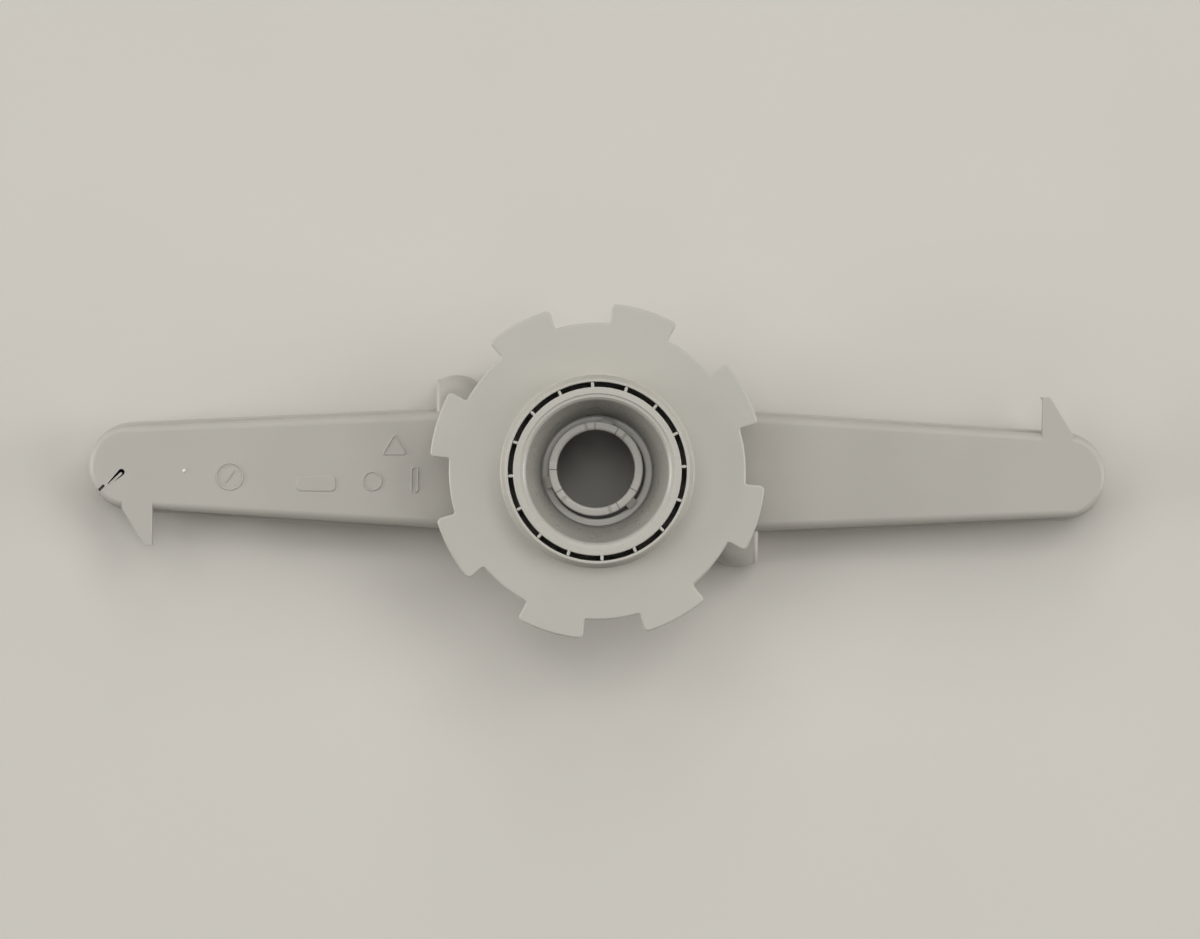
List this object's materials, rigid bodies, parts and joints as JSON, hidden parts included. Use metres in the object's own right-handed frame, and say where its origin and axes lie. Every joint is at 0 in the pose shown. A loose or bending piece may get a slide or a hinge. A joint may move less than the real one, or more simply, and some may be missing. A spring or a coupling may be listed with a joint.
{
  "type": "dishwasher spray arm",
  "caption": "Slim dishwasher spray arm of welded grey plastic shells: tapered wings with tip fins and jets, a toothed disc round the hub, a webbed funnel and a snap-in bush that turns.",
  "frame": {"origin": "on the hub's axis, in the plane of the spray face that the arm lies on", "axes": "+X along the arm to the wing without the drive slot, +Z along the hub's axis, out of the hub's mouth"},
  "size_m": [0.2132, 0.0688, 0.032],
  "materials": {
    "shell_grey": "fine moulded satin",
    "disc_grey": "moulded satin",
    "bearing_grey": "smooth, half gloss"
  },
  "bodies": {
    "arm": {"upper_shell": "shell_grey", "lower_shell": "shell_grey", "toothed_disc": "disc_grey", "hub_insert": "disc_grey", "bearing_ring": "bearing_grey"},
    "bush": {"bearing_bush": "bearing_grey"}
  },
  "joints": [
    {"name": "bush_spin", "type": "hinge", "parent": "arm", "child": "bush", "pos_m": [0, 0, 0.01855], "axis": [0, 0, 1], "continuous": true}
  ]
}
